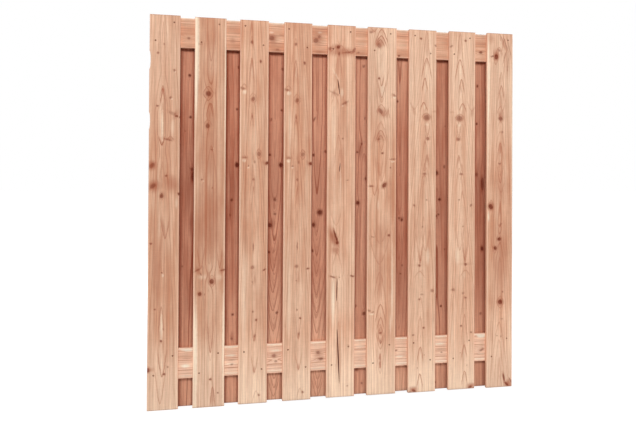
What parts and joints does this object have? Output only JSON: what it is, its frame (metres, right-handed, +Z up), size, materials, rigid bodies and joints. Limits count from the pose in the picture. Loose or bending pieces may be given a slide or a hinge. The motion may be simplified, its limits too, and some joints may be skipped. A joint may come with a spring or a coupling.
{
  "type": "board fence panel",
  "caption": "Square fence panel of upright planed softwood boards screwed to both faces of two rails, the back boards closing the gaps between the front ones.",
  "frame": {"origin": "centre of the lower rail's left end face, where the panel meets its left post", "axes": "X along the panel from the left end to the right end, Y from the front boards to the back boards, Z up"},
  "size_m": [1.8, 0.048, 1.8],
  "materials": {
    "front_boards": "planed untreated softwood, pale pinkish tan, with knots",
    "back_boards": "planed untreated softwood, redder and darker heartwood",
    "rails": "planed untreated softwood, pale pinkish tan"
  },
  "bodies": {
    "root": {"front_board_1": "front_boards", "front_board_2": "front_boards", "front_board_3": "front_boards", "front_board_4": "front_boards", "front_board_5": "front_boards", "front_board_6": "front_boards", "front_board_7": "front_boards", "front_board_8": "front_boards", "front_board_9": "front_boards", "back_board_1": "back_boards", "back_board_2": "back_boards", "back_board_3": "back_boards", "back_board_4": "back_boards", "back_board_5": "back_boards", "back_board_6": "back_boards", "back_board_7": "back_boards", "back_board_8": "back_boards", "upper_rail": "rails", "lower_rail": "rails"}
  },
  "joints": []
}
